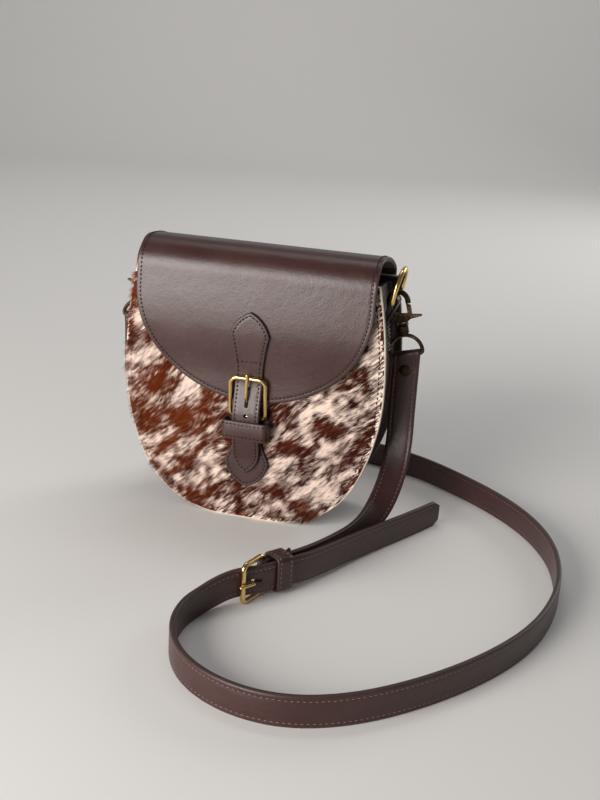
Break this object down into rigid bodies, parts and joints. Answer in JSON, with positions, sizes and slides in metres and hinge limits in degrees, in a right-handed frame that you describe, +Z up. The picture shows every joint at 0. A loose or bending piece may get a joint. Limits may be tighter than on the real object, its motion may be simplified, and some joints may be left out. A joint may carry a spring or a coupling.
{
  "type": "saddle handbag",
  "caption": "Saddle handbag: hide panels on a leather gusset, a hinged flap held by a buckled closing strap, and an adjustable shoulder strap on snap hooks.",
  "frame": {"origin": "on the ground, midway across the bag's width and depth", "axes": "+X across the front towards the side with the strap's short length, +Y to the back, +Z up"},
  "size_m": [0.3605, 0.4113, 0.209],
  "materials": {
    "hide": "hair-on hide, brown with pale patches",
    "leather": "smooth dark brown leather, soft sheen",
    "lining": "matt brown lining",
    "brass": "polished",
    "old_brass": "antique",
    "spring_steel": "spring strip"
  },
  "bodies": {
    "bag": {"front_panel": "hide", "back_panel": "hide", "gusset": "leather", "flap_root": "leather", "buckle_chape": "leather", "closure_keeper": "leather", "ring_tab_right": "leather", "ring_tab_left": "leather", "shoulder_strap_long": "leather", "shoulder_strap_short": "leather", "strap_keeper": "leather"},
    "flap": {"flap": "leather", "flap_lining": "lining", "closing_strap": "leather"},
    "closure_frame": {"closure_buckle": "brass"},
    "closure_tongue": {"closure_prong": "brass"},
    "strap_frame": {"strap_buckle": "brass"},
    "strap_tongue": {"strap_prong": "brass"},
    "ring_right": {"d_ring_right": "brass"},
    "eye_right": {"swivel_eye_right": "old_brass", "strap_end_right": "leather", "strap_post_right": "old_brass", "strap_post_screw_right": "old_brass"},
    "hook_right": {"hook_body_right": "old_brass", "trigger_pin_right": "old_brass", "trigger_spring_right": "spring_steel"},
    "trigger_right": {"hook_trigger_right": "old_brass"},
    "ring_left": {"d_ring_left": "brass"},
    "eye_left": {"swivel_eye_left": "old_brass", "strap_end_left": "leather", "strap_post_left": "old_brass", "strap_post_screw_left": "old_brass"},
    "hook_left": {"hook_body_left": "old_brass", "trigger_pin_left": "old_brass", "trigger_spring_left": "spring_steel"},
    "trigger_left": {"hook_trigger_left": "old_brass"}
  },
  "joints": [
    {"name": "flap_hinge", "type": "hinge", "parent": "bag", "child": "flap", "pos_m": [0, 0.03963, 0.19], "axis": [-1, 0, 0], "range_deg": [0, 120], "deforming": ["closing_strap"]},
    {"name": "closure_buckle_turn", "type": "hinge", "parent": "bag", "child": "closure_frame", "pos_m": [0, -0.03227, 0.084], "axis": [1, 0, 0], "range_deg": [0, 50], "deforming": ["closing_strap"]},
    {"name": "closure_prong_turn", "type": "hinge", "parent": "closure_frame", "child": "closure_tongue", "pos_m": [0, -0.03227, 0.084], "axis": [1, 0, 0], "range_deg": [0, 35], "deforming": ["closing_strap"]},
    {"name": "strap_buckle_turn", "type": "hinge", "parent": "bag", "child": "strap_frame", "pos_m": [0.0478, -0.1378, 0.0151], "axis": [0, 0, 1], "range_deg": [0, 45], "deforming": ["shoulder_strap_long"]},
    {"name": "strap_prong_turn", "type": "hinge", "parent": "strap_frame", "child": "strap_tongue", "pos_m": [0.0478, -0.1378, 0.0151], "axis": [0, 0, 1], "range_deg": [0, 25], "deforming": ["shoulder_strap_long"]},
    {"name": "d_ring_turn_right", "type": "hinge", "parent": "bag", "child": "ring_right", "pos_m": [0.097, 0.002, 0.177], "axis": [0, 1, 0], "range_deg": [-15.5, 38.5]},
    {"name": "hook_swing_right", "type": "hinge", "parent": "bag", "child": "eye_right", "pos_m": [0.097, 0.002, 0.177], "axis": [0, -1, 0], "range_deg": [0, 45], "deforming": ["shoulder_strap_short"]},
    {"name": "hook_swivel_right", "type": "hinge", "parent": "eye_right", "child": "hook_right", "pos_m": [0.097, 0.01175, 0.177], "axis": [-0.2419, 0, 0.9703], "range_deg": [-5, 5]},
    {"name": "trigger_turn_right", "type": "hinge", "parent": "hook_right", "child": "trigger_right", "pos_m": [0.10373, 0.01175, 0.16322], "axis": [0, -1, 0], "range_deg": [0, 25], "stiffness_Nm_per_rad": 0.03, "springref_deg": -17.19, "deforming": ["trigger_spring_right"]},
    {"name": "d_ring_turn_left", "type": "hinge", "parent": "bag", "child": "ring_left", "pos_m": [-0.097, 0.002, 0.177], "axis": [0, -1, 0], "range_deg": [0, 54]},
    {"name": "hook_swing_left", "type": "hinge", "parent": "bag", "child": "eye_left", "pos_m": [-0.097, 0.002, 0.177], "axis": [0, 1, 0], "range_deg": [0, 45], "deforming": ["shoulder_strap_long"]},
    {"name": "hook_swivel_left", "type": "hinge", "parent": "eye_left", "child": "hook_left", "pos_m": [-0.097, 0.01175, 0.177], "axis": [0.2419, 0, 0.9703], "range_deg": [-5, 5]},
    {"name": "trigger_turn_left", "type": "hinge", "parent": "hook_left", "child": "trigger_left", "pos_m": [-0.10373, 0.01175, 0.16322], "axis": [0, 1, 0], "range_deg": [0, 25], "stiffness_Nm_per_rad": 0.03, "springref_deg": -17.19, "deforming": ["trigger_spring_left"]}
  ]
}
